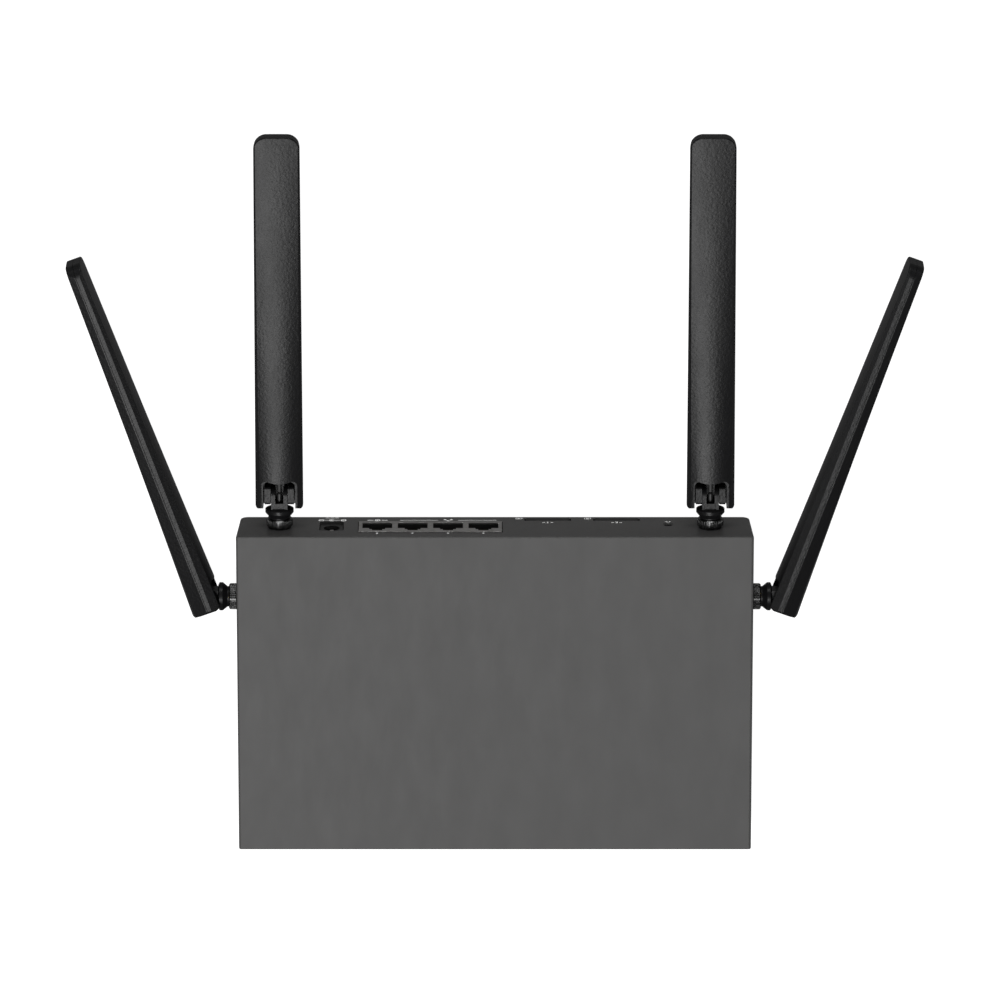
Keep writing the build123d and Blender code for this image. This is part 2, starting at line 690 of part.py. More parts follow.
def antenna_jack():
    """Wall connector: thin flange outside, barrel through the wall, crimp tail inside."""
    wall = -PIN_STANDOFF
    inside = wall - 11.5
    points = [
        (0, inside), (1.9, inside), (1.9, wall - 6.5), (BARREL_RADIUS, wall - 6.5),
        (BARREL_RADIUS, wall), (4.5, wall), (4.5, wall + FLANGE_OUT),
        (BARREL_RADIUS, wall + FLANGE_OUT), (BARREL_RADIUS, wall + BARREL_OUT),
        (1.4, wall + BARREL_OUT), (1.4, wall - 3), (0, wall - 3),
    ]
    return revolve_y(points)


def jack_lock_nut(wall_thick):
    """Hexagonal nut and washer in one, tight against the wall's inner face."""
    y = -PIN_STANDOFF - wall_thick
    nut = Rot(90, 0, 0) * extrude(RegularPolygon(4.6, 6), amount=2.2)
    washer = Rot(90, 0, 0) * Cylinder(5.1, 0.4)
    body = Pos(0, y - 0.4, 0) * nut + Pos(0, y - 0.2, 0) * washer
    return body - rod_y(BARREL_RADIUS, 0, 0, (y - 5, y + 1))


KNURLS = 40


def coupling_nut():
    """Knurled ring that screws the antenna to its jack."""
    start = -PIN_STANDOFF + NUT_START
    end = -PIN_STANDOFF + NUT_END
    bore = BARREL_RADIUS + RUNNING
    points = [
        (bore, start), (NUT_RADIUS - 0.5, start), (NUT_RADIUS, start + 0.5),
        (NUT_RADIUS, end - 0.5), (NUT_RADIUS - 0.5, end), (FERRULE_RADIUS + 0.15, end),
        (FERRULE_RADIUS + 0.15, end - 0.75), (bore, end - 0.75),
    ]
    nut = revolve_y(points)
    groove = rod_y(0.22, NUT_RADIUS + 0.05, 0, (start + 0.45, end - 0.45))
    for step in range(KNURLS):
        nut = nut - Rot(0, 360 * step / KNURLS, 0) * groove
    return nut


def plug_ferrule():
    """Brass sleeve that the nut pulls home and the fork swivels on."""
    wall = -PIN_STANDOFF
    flange_y = (wall + BARREL_OUT + 0.05, wall + NUT_END - 0.8)
    bore = LEAD_RADIUS + RUNNING
    points = [
        (bore, flange_y[0]), (3.0, flange_y[0]), (3.0, flange_y[1]),
        (FERRULE_RADIUS, flange_y[1]), (FERRULE_RADIUS, wall + BEVEL_END),
        (FERRULE_RADIUS + 0.4, wall + BEVEL_END), (FERRULE_RADIUS + 0.4, wall + BEVEL_END + 0.4),
        (bore, wall + BEVEL_END + 0.4),
    ]
    return revolve_y(points)


def swivel_fork():
    """Collar that turns on the ferrule, and the two tines that hold the paddle."""
    wall = -PIN_STANDOFF
    bore = FERRULE_RADIUS + RUNNING
    pocket = FERRULE_RADIUS + 0.4 + RUNNING
    pocket_end = wall + BEVEL_END + 0.5
    points = [
        (bore, wall + NUT_END + 0.1), (NECK_RADIUS, wall + NUT_END + 0.1),
        (NECK_RADIUS, wall + CONE_START), (RIM_RADIUS, wall + RIM_START),
        (RIM_RADIUS, wall + RIM_END), (FORK_HALF + 1.2, wall + BEVEL_END),
        (bore, wall + BEVEL_END),
    ]
    collar = revolve_y(points)
    stem_y = (wall + RIM_END, 0)
    stem = block((-FORK_HALF, FORK_HALF), stem_y, (-FORK_HALF, FORK_HALF))
    stem = stem + rod_x(FORK_HALF, 0, 0, (-FORK_HALF, FORK_HALF))
    stem = stem - rod_y(bore, 0, 0, (stem_y[0] - 1, wall + BEVEL_END))
    stem = stem - rod_y(pocket, 0, 0, (wall + BEVEL_END - 0.05, pocket_end))
    gap_y = (-2.9, FORK_HALF + 1)
    stem = stem - block((-FORK_GAP_HALF, FORK_GAP_HALF), gap_y, (-5, 5))
    stem = stem - rod_y(LEAD_RADIUS + 0.1, 0, 0, (pocket_end - 1, 0))
    stem = stem - rod_x(HINGE_PIN_RADIUS + RUNNING, 0, 0, (-5, 5))
    return collar + stem


def fork_lead():
    """The antenna's coaxial lead from its plug to the hinge axis, with a round end."""
    lead = rod_y(LEAD_RADIUS, 0, 0, (-PIN_STANDOFF + BARREL_OUT + 0.05, 0))
    return lead + Sphere(LEAD_RADIUS)


# ---------------------------------------------------------------- antenna paddle

# Half sections of the paddle at three stations: distance from the pin, half width,
# crown height, and the corner where the side slope meets the crowned face.
FRONT_STATIONS = (
    (-PADDLE_HEEL - 1.0, 9.4, 6.55, (7.7, 4.95)),
    (72.0, 9.25, 4.75, (8.2, 3.95)),
    (PADDLE_REACH + 1.0, 9.0, 3.2, (8.35, 2.95)),
)
BACK_STATIONS = (
    (-PADDLE_HEEL - 1.0, 9.4, 7.2, (7.7, 5.5)),
    (72.0, 9.25, 4.85, (8.2, 4.0)),
    (PADDLE_REACH + 1.0, 9.0, 3.0, (8.35, 2.75)),
)
FRONT_STRIP = 1.75          # flat narrow edge, from the joint between the shells forward
BACK_STRIP = 0.35           # and backward
RIDGE_RADIUS = 0.5          # softens the corner between the narrow edge and the slope
FRONT_HEEL_RADIUS = 4.0
BACK_HEEL_RADIUS = 1.3
RADIATOR_START = 9.5
RADIATOR_END = 141.0


def paddle_section(strip, station, half_width, crown, corner):
    """One half section: flat edge, sloping flank, crowned face."""
    flank_x, flank_z = corner
    with BuildSketch(Plane(origin=(0, station, 0), x_dir=(1, 0, 0), z_dir=(0, -1, 0))) as sk:
        with BuildLine():
            Polyline((-flank_x, flank_z), (-half_width, strip), (-half_width, 0),
                     (half_width, 0), (half_width, strip), (flank_x, flank_z))
            ThreePointArc((flank_x, flank_z), (0, crown), (-flank_x, flank_z))
        make_face()
    return sk.sketch


def paddle_outline():
    """Plan of the paddle: round tip corners and slightly rounded lower corners."""
    half = 9.4
    tip_half = 9.02
    heel = -PADDLE_HEEL
    points = [(-half, heel), (half, heel), (tip_half, PADDLE_REACH), (-tip_half, PADDLE_REACH)]
    face = make_face(Polyline(*points, close=True))
    face = fillet(face.vertices().sort_by(Axis.Y)[-2:], TIP_RADIUS)
    return fillet(face.vertices().sort_by(Axis.Y)[:2], 1.2)


def paddle_side(crown, radius):
    """Side view of one half: the lower corner is rounded, the tip is square."""
    heel = -PADDLE_HEEL
    top = 9.0
    bulge = radius * (1 - math.cos(math.pi / 4))
    with BuildSketch(Plane.YZ) as sk:
        with BuildLine():
            Polyline((heel + radius, crown), (heel + radius, top), (PADDLE_REACH, top),
                     (PADDLE_REACH, 0), (heel, 0), (heel, crown - radius))
            ThreePointArc((heel, crown - radius), (heel + bulge, crown - bulge),
                          (heel + radius, crown))
        make_face()
    return sk.sketch


def half_paddle(stations, strip, heel_radius):
    """One solid half of the paddle, drawn as if it were the front one."""
    loft_body = loft([paddle_section(strip, *station) for station in stations])
    ridges = loft_body.edges().filter_by(lambda e: abs(e.center().X) > 9.0
                                         and abs(e.center().Z - strip) < 0.05)
    if strip > RIDGE_RADIUS:
        loft_body = fillet(ridges, RIDGE_RADIUS)
    plan = extrude(paddle_outline(), amount=10)
    side = extrude(paddle_side(stations[0][2], heel_radius), amount=12, both=True)
    body = loft_body & plan & side
    tip_edges = body.edges().filter_by(lambda e: e.center().Y > PADDLE_REACH - TIP_RADIUS
                                       and e.center().Z > 2.4)
    return fillet(tip_edges, 0.5)


def recess_plan(half, top):
    """Plan of the hinge recess: shoulders at the sides and a brow that dips in the middle."""
    shoulder = 2.2
    heel = -PADDLE_HEEL - 1
    with BuildSketch() as sk:
        with BuildLine():
            Polyline((-half, top - shoulder), (-half, heel), (half, heel), (half, top - shoulder))
            ThreePointArc((half, top - shoulder), (half - 0.6, top - 0.6), (half - shoulder, top))
            ThreePointArc((half - shoulder, top), (0, top - 0.95), (-half + shoulder, top))
            ThreePointArc((-half + shoulder, top), (-half + 0.6, top - 0.6),
                          (-half, top - shoulder))
        make_face()
    return sk.sketch


def recess(depth):
    """Space for the fork: narrower below a step that runs round it, down to a depth."""
    wide = extrude(recess_plan(RECESS_HALF, RECESS_TOP), amount=10)
    inner = recess_plan(RECESS_HALF - RECESS_STEP, RECESS_TOP - RECESS_STEP)
    return Pos(0, 0, RECESS_STEP_Z) * wide + Pos(0, 0, -depth) * extrude(inner, amount=10 + depth)


def radiator_pocket():
    """Hollow for the radiator board, open to the joint between the shells."""
    y = (RADIATOR_START - 0.5, RADIATOR_END + 0.5)
    pocket = block((-7.3, 7.3), y, (-1.1, 1.6))
    return fillet(pocket.edges().filter_by(Axis.Z), 1.5)


def lead_way():
    """Round way for the lead from the recess to the radiator pocket."""
    return rod_y(LEAD_RADIUS + 0.1, 0, 0, (5.0, RADIATOR_START + 1))


SEAM_STEP = 0.15


def seam_relief():
    """A shallow step along the joint between the two shells, seen as a fine line."""
    wide = extrude(paddle_outline(), amount=SEAM_STEP)
    narrow = extrude(offset(paddle_outline(), amount=-0.7), amount=SEAM_STEP)
    return wide - narrow


def paddle_front():
    """Front shell, open round the hinge."""
    shell = half_paddle(FRONT_STATIONS, FRONT_STRIP, FRONT_HEEL_RADIUS) - recess(1.0)
    return shell - radiator_pocket() - lead_way() - seam_relief()


def paddle_back():
    """Back shell, with the two hinge lugs standing in its recess."""
    drawn = half_paddle(BACK_STATIONS, BACK_STRIP, BACK_HEEL_RADIUS)
    shell = mirror(drawn, Plane.XY) - recess(FORK_HALF + 0.3)
    for side in (-1, 1):
        x = (side * LUG_INNER, side * LUG_OUTER)
        lug = block(x, LUG_LENGTH, (-FORK_HALF - 0.5, LUG_HALF))
        lug = fillet(lug.edges().filter_by(Axis.X).sort_by(Axis.Z)[-2:], 1.0)
        shell = shell + lug
    shell = shell - rod_x(HINGE_PIN_RADIUS, 0, 0, (-LUG_OUTER - 0.5, LUG_OUTER + 0.5))
    return shell - radiator_pocket() - lead_way()


def hinge_pins():
    """Two short pins, one through each lug and tine, leaving the middle to the lead."""
    pins = []
    for side in (-1, 1):
        x = (side * (FORK_GAP_HALF + 0.1), side * (LUG_OUTER - 0.1))
        pins.append(rod_x(HINGE_PIN_RADIUS, 0, 0, x))
    return group(pins)


def radiator():
    """The antenna's board, and the lead soldered to it, which starts beyond the axis."""
    board = block((-6.5, 6.5), (RADIATOR_START, RADIATOR_END), (-0.4, 0.4))
    lead = rod_y(LEAD_RADIUS, 0, 0, (LEAD_RADIUS + 0.3, RADIATOR_START - 0.05))
    return group([board, lead])


# ---------------------------------------------------------------- antenna places

def rear_plane(side):
    """Local frame of a rear antenna: pin along X, outward +Y, front face up."""
    origin = (side * ANTENNA_X, REAR + PIN_STANDOFF, AXIS_Z)
    return Plane(origin=origin, x_dir=(1, 0, 0), z_dir=(0, 0, 1))


def side_plane(side):
    """Local frame of a side antenna: outward is away from the side wall."""
    origin = (side * (WALL_AT_AXIS + PIN_STANDOFF), REAR - SIDE_ANTENNA_BACK, AXIS_Z)
    return Plane(origin=origin, x_dir=(0, 0, side), z_dir=(0, 1, 0))


PLACES = {
    "left_rear": (rear_plane(-1), 0.0, END_WALL),
    "right_rear": (rear_plane(1), 0.0, END_WALL),
    "left_side": (side_plane(-1), 90.0 - SIDE_LEAN, WALL + 0.4),
    "right_side": (side_plane(1), 90.0 - SIDE_LEAN, WALL + 0.4),
}

PIGTAIL_RADIUS = 0.65


def pigtail(points):
    """A thin lead along straight runs joined by arcs as large as the runs allow."""
    radii = []
    for before, corner, after in zip(points, points[1:], points[2:]):
        a = Vector(*corner) - Vector(*before)
        b = Vector(*after) - Vector(*corner)
        turn = math.radians(a.get_angle(b))
        radii.append(0.45 * min(a.length, b.length) / math.tan(turn / 2))
    path = FilletPolyline(*points, radius=radii)
    start = Plane(origin=path @ 0, z_dir=path % 0)
    return sweep(start * Circle(PIGTAIL_RADIUS), path=path)


PLUG_Z = BOARD_TOP + 1.6
# Where each lead ends on the board.
LEAD_ENDS = {
    "rear": (56.0, REAR - 46.0),
    "side": (70.0, REAR - 50.0),
}


def antenna_leads():
    """Four thin leads from the jacks' tails to their plugs on the board."""
    leads = []
    for side in (-1, 1):
        x_end, y_end = LEAD_ENDS["rear"]
        tail = REAR - 11.5
        leads.append(pigtail([
            (side * ANTENNA_X, tail, AXIS_Z),
            (side * ANTENNA_X, tail - 9.0, AXIS_Z),
            (side * (ANTENNA_X - 6.0), tail - 19.0, AXIS_Z - 2.0),
            (side * (x_end + 14.0), tail - 26.0, PLUG_Z + 1.5),
            (side * (x_end + 2.6), y_end + 2.0, PLUG_Z),
            (side * (x_end + 1.6), y_end - 6.0, PLUG_Z),
        ]))
        x_end, y_end = LEAD_ENDS["side"]
        tail = WALL_AT_AXIS - 11.5
        side_y = REAR - SIDE_ANTENNA_BACK
        leads.append(pigtail([
            (side * tail, side_y, AXIS_Z),
            (side * (tail - 5.0), side_y, AXIS_Z),
            (side * (tail - 9.5), side_y - 5.0, AXIS_Z - 2.4),
            (side * (x_end + 4.4), y_end - 1.6, PLUG_Z + 0.4),
            (side * (x_end + 1.6), y_end - 9.0, PLUG_Z),
        ]))
    return group(leads)


def lead_plugs():
    """Small press-on coaxial plugs where the four leads meet the board."""
    plugs = []
    for side in (-1, 1):
        for name, back in (("rear", 6.0), ("side", 9.0)):
            x_end, y_end = LEAD_ENDS[name]
            x = side * (x_end + 1.6)
            y = y_end - back - 1.6
            body = block((x - 1.5, x + 1.5), (y - 1.6, y + 1.3), (BOARD_TOP, PLUG_Z + 0.9))
            plugs.append(body)
    return group(plugs)


# ---------------------------------------------------------------- writing

case_parts = {
    "top_lid": top_lid,
    "base_shell": base_shell,
    "rubber_feet": rubber_feet,
    "case_screws": case_screws,
    "main_board": main_board,
    "board_screws": board_screws,
    "ethernet_shield": ethernet_shield,
    "ethernet_housing": ethernet_housing,
    "ethernet_contacts": ethernet_contacts,
    "power_jack_housing": power_jack_housing,
    "power_jack_pin": power_jack_pin,
    "power_jack_spring": power_jack_spring,
    "sim_frames": sim_frames,
    "sim_shells": sim_shells,
    "sim_contacts": sim_contacts,
    "reset_switch_body": reset_switch_body,
    "reset_plunger": reset_plunger,
    "processor": processor,
    "thermal_pad": thermal_pad,
    "heat_sink": heat_sink,
    "shield_cans": shield_cans,
    "modem_module": modem_module,
    "memory_chips": memory_chips,
    "power_coils": power_coils,
    "magnetics": magnetics,
    "capacitors": capacitors,
    "status_leds": status_leds,
    "light_guide": light_guide,
    "antenna_leads": antenna_leads,
    "lead_plugs": lead_plugs,
}
for name, make in case_parts.items():
    save(name, make())

for number, x in enumerate(SIM_X, start=1):
    save(f"sim_slider_{number}", sim_slider(x))

# Fixed connector parts, four of each, share a node; the turning parts have their own.
fixed = {"antenna_jacks": [], "jack_lock_nuts": [], "coupling_nuts": [], "plug_ferrules": []}
jack = antenna_jack()
nut = coupling_nut()
ferrule = plug_ferrule()
fork = swivel_fork()
lead = fork_lead()
turning = {
    "swivel_fork": (fork, False),
    "fork_lead": (lead, False),
    "paddle_front": (paddle_front(), True),
    "paddle_back": (paddle_back(), True),
    "hinge_pins": (hinge_pins(), True),
    "radiator": (radiator(), True),
}
for place, (plane, bend, wall_thick) in PLACES.items():
    fixed["antenna_jacks"].append(jack.moved(plane.location))
    fixed["jack_lock_nuts"].append(jack_lock_nut(wall_thick).moved(plane.location))
    fixed["coupling_nuts"].append(nut.moved(plane.location))
    fixed["plug_ferrules"].append(ferrule.moved(plane.location))
    for name, (shape, on_paddle) in turning.items():
        turned = Rot(bend, 0, 0) * shape if on_paddle else shape
        save(f"{place}_{name}", turned.moved(plane.location))
for name, pieces in fixed.items():
    save(name, group(pieces))
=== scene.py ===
import json
import math

import bpy
import numpy as np
from mathutils import Matrix, Vector


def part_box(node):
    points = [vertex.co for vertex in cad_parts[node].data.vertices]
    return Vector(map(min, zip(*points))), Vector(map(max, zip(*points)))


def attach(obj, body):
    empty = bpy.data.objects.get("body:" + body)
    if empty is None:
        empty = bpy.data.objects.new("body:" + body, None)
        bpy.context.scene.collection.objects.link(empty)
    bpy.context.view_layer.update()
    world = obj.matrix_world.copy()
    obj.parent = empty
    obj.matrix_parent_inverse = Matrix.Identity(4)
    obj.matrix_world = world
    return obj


# The looks of a slim box router with four hinged paddle antennas.
# +X is to the right and +Y to the rear, where the sockets are; lengths are in metres.

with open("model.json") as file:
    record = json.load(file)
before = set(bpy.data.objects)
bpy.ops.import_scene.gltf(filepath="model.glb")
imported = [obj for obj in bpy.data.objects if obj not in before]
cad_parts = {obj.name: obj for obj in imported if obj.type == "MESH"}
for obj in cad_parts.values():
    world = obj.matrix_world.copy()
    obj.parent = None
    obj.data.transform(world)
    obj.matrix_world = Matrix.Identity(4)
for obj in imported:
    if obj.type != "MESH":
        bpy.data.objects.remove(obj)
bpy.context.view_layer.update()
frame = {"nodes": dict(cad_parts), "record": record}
MM = 0.001


# ---------------------------------------------------------------- finishes: the node writer

class Level:
    """One number that varies over a finish. Arithmetic on it adds Math nodes."""

    def __init__(self, finish, socket):
        self.finish = finish
        self.socket = socket

    def math(self, operation, *values):
        return self.finish.node("ShaderNodeMath", {"operation": operation}, values)

    def __add__(self, other):
        return self.math("ADD", self, other)

    def __radd__(self, other):
        return self.math("ADD", other, self)

    def __sub__(self, other):
        return self.math("SUBTRACT", self, other)

    def __rsub__(self, other):
        return self.math("SUBTRACT", other, self)

    def __mul__(self, other):
        return self.math("MULTIPLY", self, other)

    def __rmul__(self, other):
        return self.math("MULTIPLY", other, self)

    def __truediv__(self, other):
        return self.math("DIVIDE", self, other)

    def __pow__(self, other):
        return self.math("POWER", self, other)

    def __abs__(self):
        return self.math("ABSOLUTE", self)

    def above(self, other):
        return self.math("GREATER_THAN", self, other)

    def below(self, other):
        return self.math("LESS_THAN", self, other)

    def capped(self):
        """The level held between 0 and 1."""
        return self.finish.node(
            "ShaderNodeClamp", {}, {"Value": self, "Min": 0.0, "Max": 1.0})

    def stepped(self, low, high):
        """0 below low, 1 above high, and a smooth rise between them."""
        return self.finish.node(
            "ShaderNodeMapRange",
            {"interpolation_type": "SMOOTHSTEP"},
            {"Value": self, "From Min": low, "From Max": high, "To Min": 0.0, "To Max": 1.0},
        )


class Finish:
    """A material under construction."""

    def __init__(self, name, **shader):
        self.material = bpy.data.materials.new(name)
        self.material.use_nodes = True
        self.tree = self.material.node_tree
        self.tree.nodes.clear()
        self.shader = self.tree.nodes.new("ShaderNodeBsdfPrincipled")
        output = self.tree.nodes.new("ShaderNodeOutputMaterial")
        self.tree.links.new(self.shader.outputs[0], output.inputs[0])
        for socket, value in shader.items():
            self.put(self.shader.inputs[socket.replace("_", " ")], value)

    def put(self, socket, value):
        """Links or sets one input socket."""
        if isinstance(value, Level):
            self.tree.links.new(value.socket, socket)
        else:
            socket.default_value = value

    def node(self, kind, settings, sockets, out=0):
        """Adds a node: its settings first, then its sockets by name, number or order."""
        made = self.tree.nodes.new(kind)
        for key, value in settings.items():
            setattr(made, key, value)
        if not isinstance(sockets, dict):
            sockets = dict(enumerate(sockets))
        for key, value in sockets.items():
            self.put(made.inputs[key], value)
        return Level(self, made.outputs[out])

    def here(self, stretch=(1.0, 1.0, 1.0), turn=(0.0, 0.0, 0.0)):
        """The place on the object, in metres."""
        place = self.node("ShaderNodeTexCoord", {}, {}, out=3)
        return self.node(
            "ShaderNodeMapping", {}, {"Vector": place, "Rotation": turn, "Scale": stretch})

    def noise(self, place, size_mm, detail=2.0, roughness=0.5):
        """Soft random levels round 0.5, in blobs of about size_mm."""
        sockets = {"Vector": place, "Scale": 1 / (size_mm * MM), "Detail": detail,
                   "Roughness": roughness}
        return self.node("ShaderNodeTexNoise", {}, sockets)

    def cells(self, place, size_mm, feature="SMOOTH_F1"):
        """Distance from the nearest of many scattered points about size_mm apart."""
        sockets = {"Vector": place, "Scale": 1 / (size_mm * MM)}
        return self.node("ShaderNodeTexVoronoi", {"feature": feature}, sockets)

    def blend(self, share, first, second):
        """A colour between two colours."""
        return self.node("ShaderNodeMix", {"data_type": "RGBA"}, {0: share, 6: first, 7: second},
                         out=2)

    def edges_worn_and_highlit(self, radius_mm, gain):
        """Near 1 along sharp edges: where a softened normal leaves the true one. Marks edges for
        wear and for a painted highlight.
        """
        soft = self.node("ShaderNodeBevel", {"samples": 4}, {"Radius": radius_mm * MM})
        true = self.node("ShaderNodeNewGeometry", {}, {}, out=1)
        along = self.node("ShaderNodeVectorMath", {"operation": "DOT_PRODUCT"}, (soft, true), out=1)
        return ((1.0 - along) * gain).capped()

    def bump(self, height, depth_mm, strength=1.0, edge_mm=0.0):
        """Sends a height to the shader's normal, over edges softened by edge_mm."""
        sockets = {"Height": height, "Distance": depth_mm * MM, "Strength": strength}
        if edge_mm:
            sockets["Normal"] = self.node(
                "ShaderNodeBevel", {"samples": 4}, {"Radius": edge_mm * MM})
        self.give(Normal=self.node("ShaderNodeBump", {}, sockets))

    def give(self, **sockets):
        """Sends levels and colours to the shader."""
        for socket, value in sockets.items():
            self.put(self.shader.inputs[socket.replace("_", " ")], value)


def grey(level, warm=0.0):
    """A grey that is a little warmer or cooler than neutral."""
    return (level * (1 + warm), level, level * (1 - warm), 1.0)


def moulded(name, colour, pale, roughness, specular, grain_mm, depth_mm, edge_mm=0.12, rub_and_highlight_share=0.25):
    """Moulded plastic: pebbled grain, slow patches of shade and sheen, and paler edges that are
    partly wear and partly a painted highlight.
    """
    finish = Finish(name, Specular_IOR_Level=specular)
    here = finish.here()
    grain = finish.noise(here, grain_mm, 2.0, 0.6)
    pebble = finish.cells(here, grain_mm * 1.6)
    patch = finish.noise(here, 28.0, 4.0, 0.6)
    haze = finish.noise(finish.here((1.0, 0.35, 1.0)), 9.0, 3.0, 0.65)
    # paler sharp edges: partly rubbed wear, partly a painted highlight along the rims
    rub_and_highlight_mask = finish.edges_worn_and_highlit(0.5, 2.2) * finish.noise(here, 2.4, 3.0).stepped(0.3, 0.7)
    shade = (patch - 0.5) * 0.5 + (grain - 0.5) * 0.35
    body = finish.blend((0.5 + shade).capped(), [c * 0.86 for c in colour[:3]] + [1.0],
                        [min(c * 1.14, 1.0) for c in colour[:3]] + [1.0])
    finish.give(Base_Color=finish.blend(rub_and_highlight_mask * rub_and_highlight_share, body, pale))
    finish.give(Roughness=(roughness + (haze - 0.5) * 0.12 + (grain - 0.5) * 0.1
                           - rub_and_highlight_mask * 0.08).capped())
    finish.bump(grain * 0.6 + pebble * 0.5, depth_mm, 1.0, edge_mm)
    return finish.material


def plated(name, colour, dull, roughness, stretch, depth_mm=0.004, edge_mm=0.06):
    """Plated or bare metal: drawn streaks, dull patches and hairline marks."""
    finish = Finish(name, Metallic=1.0)
    here = finish.here()
    streak = finish.noise(finish.here(stretch), 0.5, 3.0, 0.7)
    patch = finish.noise(here, 5.0, 4.0, 0.65)
    hairline = finish.noise(finish.here((1.0, 14.0, 3.0), (0.3, 0.5, 0.9)), 1.1, 1.0)
    marked = 1.0 - (abs(hairline - 0.5)).stepped(0.0, 0.012)
    tarnish = patch.stepped(0.42, 0.72)
    finish.give(Base_Color=finish.blend(tarnish, colour, dull))
    finish.give(Roughness=(roughness + (streak - 0.5) * 0.22 + tarnish * 0.12
                           + marked * 0.1).capped())
    finish.bump(streak * 0.6 + marked * 0.4, depth_mm, 1.0, edge_mm)
    return finish.material


def board_resin():
    """Circuit board: solder mask over fine tracks, with scattered bare pads."""
    finish = Finish("board_resin", Specular_IOR_Level=0.5)
    here = finish.here()
    parts = [finish.node("ShaderNodeSeparateXYZ", {}, (here,), out=i) for i in range(3)]
    x, y = parts[0], parts[1]
    across = (x / (0.9 * MM)).math("FRACT", x / (0.9 * MM))
    along = (y / (0.9 * MM)).math("FRACT", y / (0.9 * MM))
    region = finish.cells(here, 16.0, "F1").above(0.42)
    lane = across * region + along * (1.0 - region)
    track = abs(lane - 0.5).below(0.2)
    via = finish.cells(here, 2.7, "F1").below(0.12)
    weave = finish.noise(here, 0.35, 2.0)
    mask = finish.blend(track * 0.75, (0.006, 0.045, 0.02, 1.0), (0.012, 0.085, 0.036, 1.0))
    finish.give(Base_Color=finish.blend(via, mask, (0.5, 0.42, 0.22, 1.0)))
    finish.give(Metallic=via)
    finish.give(Roughness=(0.32 + (weave - 0.5) * 0.2).capped())
    finish.bump(track * 0.5 + weave * 0.3 + via * 0.6, 0.02)
    return finish.material


def clear_guide(name, tint, roughness):
    """Frosted clear moulding: pale body, small flow marks and a soft sheen."""
    finish = Finish(name, Transmission_Weight=0.35, IOR=1.49)
    here = finish.here()
    flow = finish.noise(finish.here((1.0, 0.2, 1.0)), 1.5, 3.0)
    frost = finish.noise(here, 0.2, 2.0)
    finish.give(Base_Color=finish.blend(flow, [c * 0.85 for c in tint[:3]] + [1.0], tint))
    finish.give(Roughness=(roughness + (frost - 0.5) * 0.25).capped())
    finish.bump(frost * 0.5 + flow * 0.5, 0.01)
    return finish.material


def ink(name, colour):
    """Pad-printed ink: small thin spots and a slightly uneven sheen."""
    finish = Finish(name, Specular_IOR_Level=0.4)
    here = finish.here()
    thin = finish.noise(here, 0.35, 3.0, 0.7)
    finish.give(Base_Color=finish.blend(thin.stepped(0.25, 0.6), [c * 0.7 for c in colour[:3]]
                                        + [1.0], colour))
    finish.give(Roughness=(0.5 + (thin - 0.5) * 0.3).capped())
    finish.bump(thin, 0.004)
    return finish.material


ANTENNA_BLACK = (0.0045, 0.0045, 0.0048, 1.0)
SLOT_FINISHES = {
    # the lid's pale edge grey and its large share 0.6 paint a highlight along its rims, besides
    # wear
    "case_plastic": moulded("case_plastic", grey(0.047, 0.012), grey(0.22, 0.01), 0.5, 0.2,
                            0.32, 0.012, 0.2, 0.6),
    "base_plastic": moulded("base_plastic", grey(0.038, 0.012), grey(0.12, 0.01), 0.32, 0.1,
                             0.3, 0.004, 0.12, 0.35),
    "foot_rubber": moulded("foot_rubber", grey(0.018), grey(0.05), 0.85, 0.2, 0.5, 0.03, 0.2, 0.5),
    "screw_steel": plated("screw_steel", grey(0.16), grey(0.08), 0.38, (6.0, 6.0, 1.0)),
    "board_resin": board_resin(),
    "nickel": plated("nickel", grey(0.6, 0.02), grey(0.42, 0.03), 0.34, (1.0, 1.0, 9.0)),
    "socket_plastic": moulded("socket_plastic", grey(0.011), grey(0.035), 0.42, 0.4,
                              0.25, 0.006, 0.1, 0.3),
    "gold_contact": plated("gold_contact", (0.86, 0.6, 0.24, 1.0), (0.7, 0.46, 0.18, 1.0), 0.22,
                           (9.0, 1.0, 1.0)),
    "spring_steel": plated("spring_steel", grey(0.6), grey(0.42), 0.28, (9.0, 1.0, 1.0)),
    "chip_resin": moulded("chip_resin", grey(0.02), grey(0.04), 0.6, 0.35, 0.15, 0.006, 0.1, 0.2),
    "pad_rubber": moulded("pad_rubber", (0.42, 0.47, 0.52, 1.0), grey(0.6), 0.7, 0.3,
                          0.4, 0.02, 0.1, 0.2),
    "sink_aluminium": plated("sink_aluminium", grey(0.68), grey(0.5), 0.42, (1.0, 8.0, 1.0), 0.01),
    "can_tin": plated("can_tin", grey(0.64, 0.01), grey(0.48, 0.02), 0.34, (1.0, 5.0, 1.0)),
    "capacitor_sleeve": moulded("capacitor_sleeve", (0.012, 0.012, 0.03, 1.0), grey(0.06), 0.3, 0.5,
                                0.6, 0.004, 0.1, 0.2),
    "lamp_lens": clear_guide("lamp_lens", (0.8, 0.84, 0.78, 1.0), 0.15),
    "guide_clear": clear_guide("guide_clear", (0.86, 0.88, 0.88, 1.0), 0.35),
    "lead_jacket": moulded("lead_jacket", grey(0.014), grey(0.04), 0.5, 0.4, 0.3, 0.01, 0.0, 0.2),
    "jack_brass": plated("jack_brass", (0.78, 0.58, 0.28, 1.0), (0.6, 0.42, 0.2, 1.0), 0.28,
                         (1.0, 6.0, 1.0)),
    "nut_black": moulded("nut_black", grey(0.003), grey(0.03), 0.2, 0.42, 0.6, 0.05, 0.06, 0.1),
    "antenna_plastic": moulded("antenna_plastic", ANTENNA_BLACK, grey(0.03), 0.37, 0.13,
                               0.7, 0.1, 0.1, 0.25),
    "pin_steel": plated("pin_steel", grey(0.55), grey(0.4), 0.25, (1.0, 9.0, 9.0)),
}


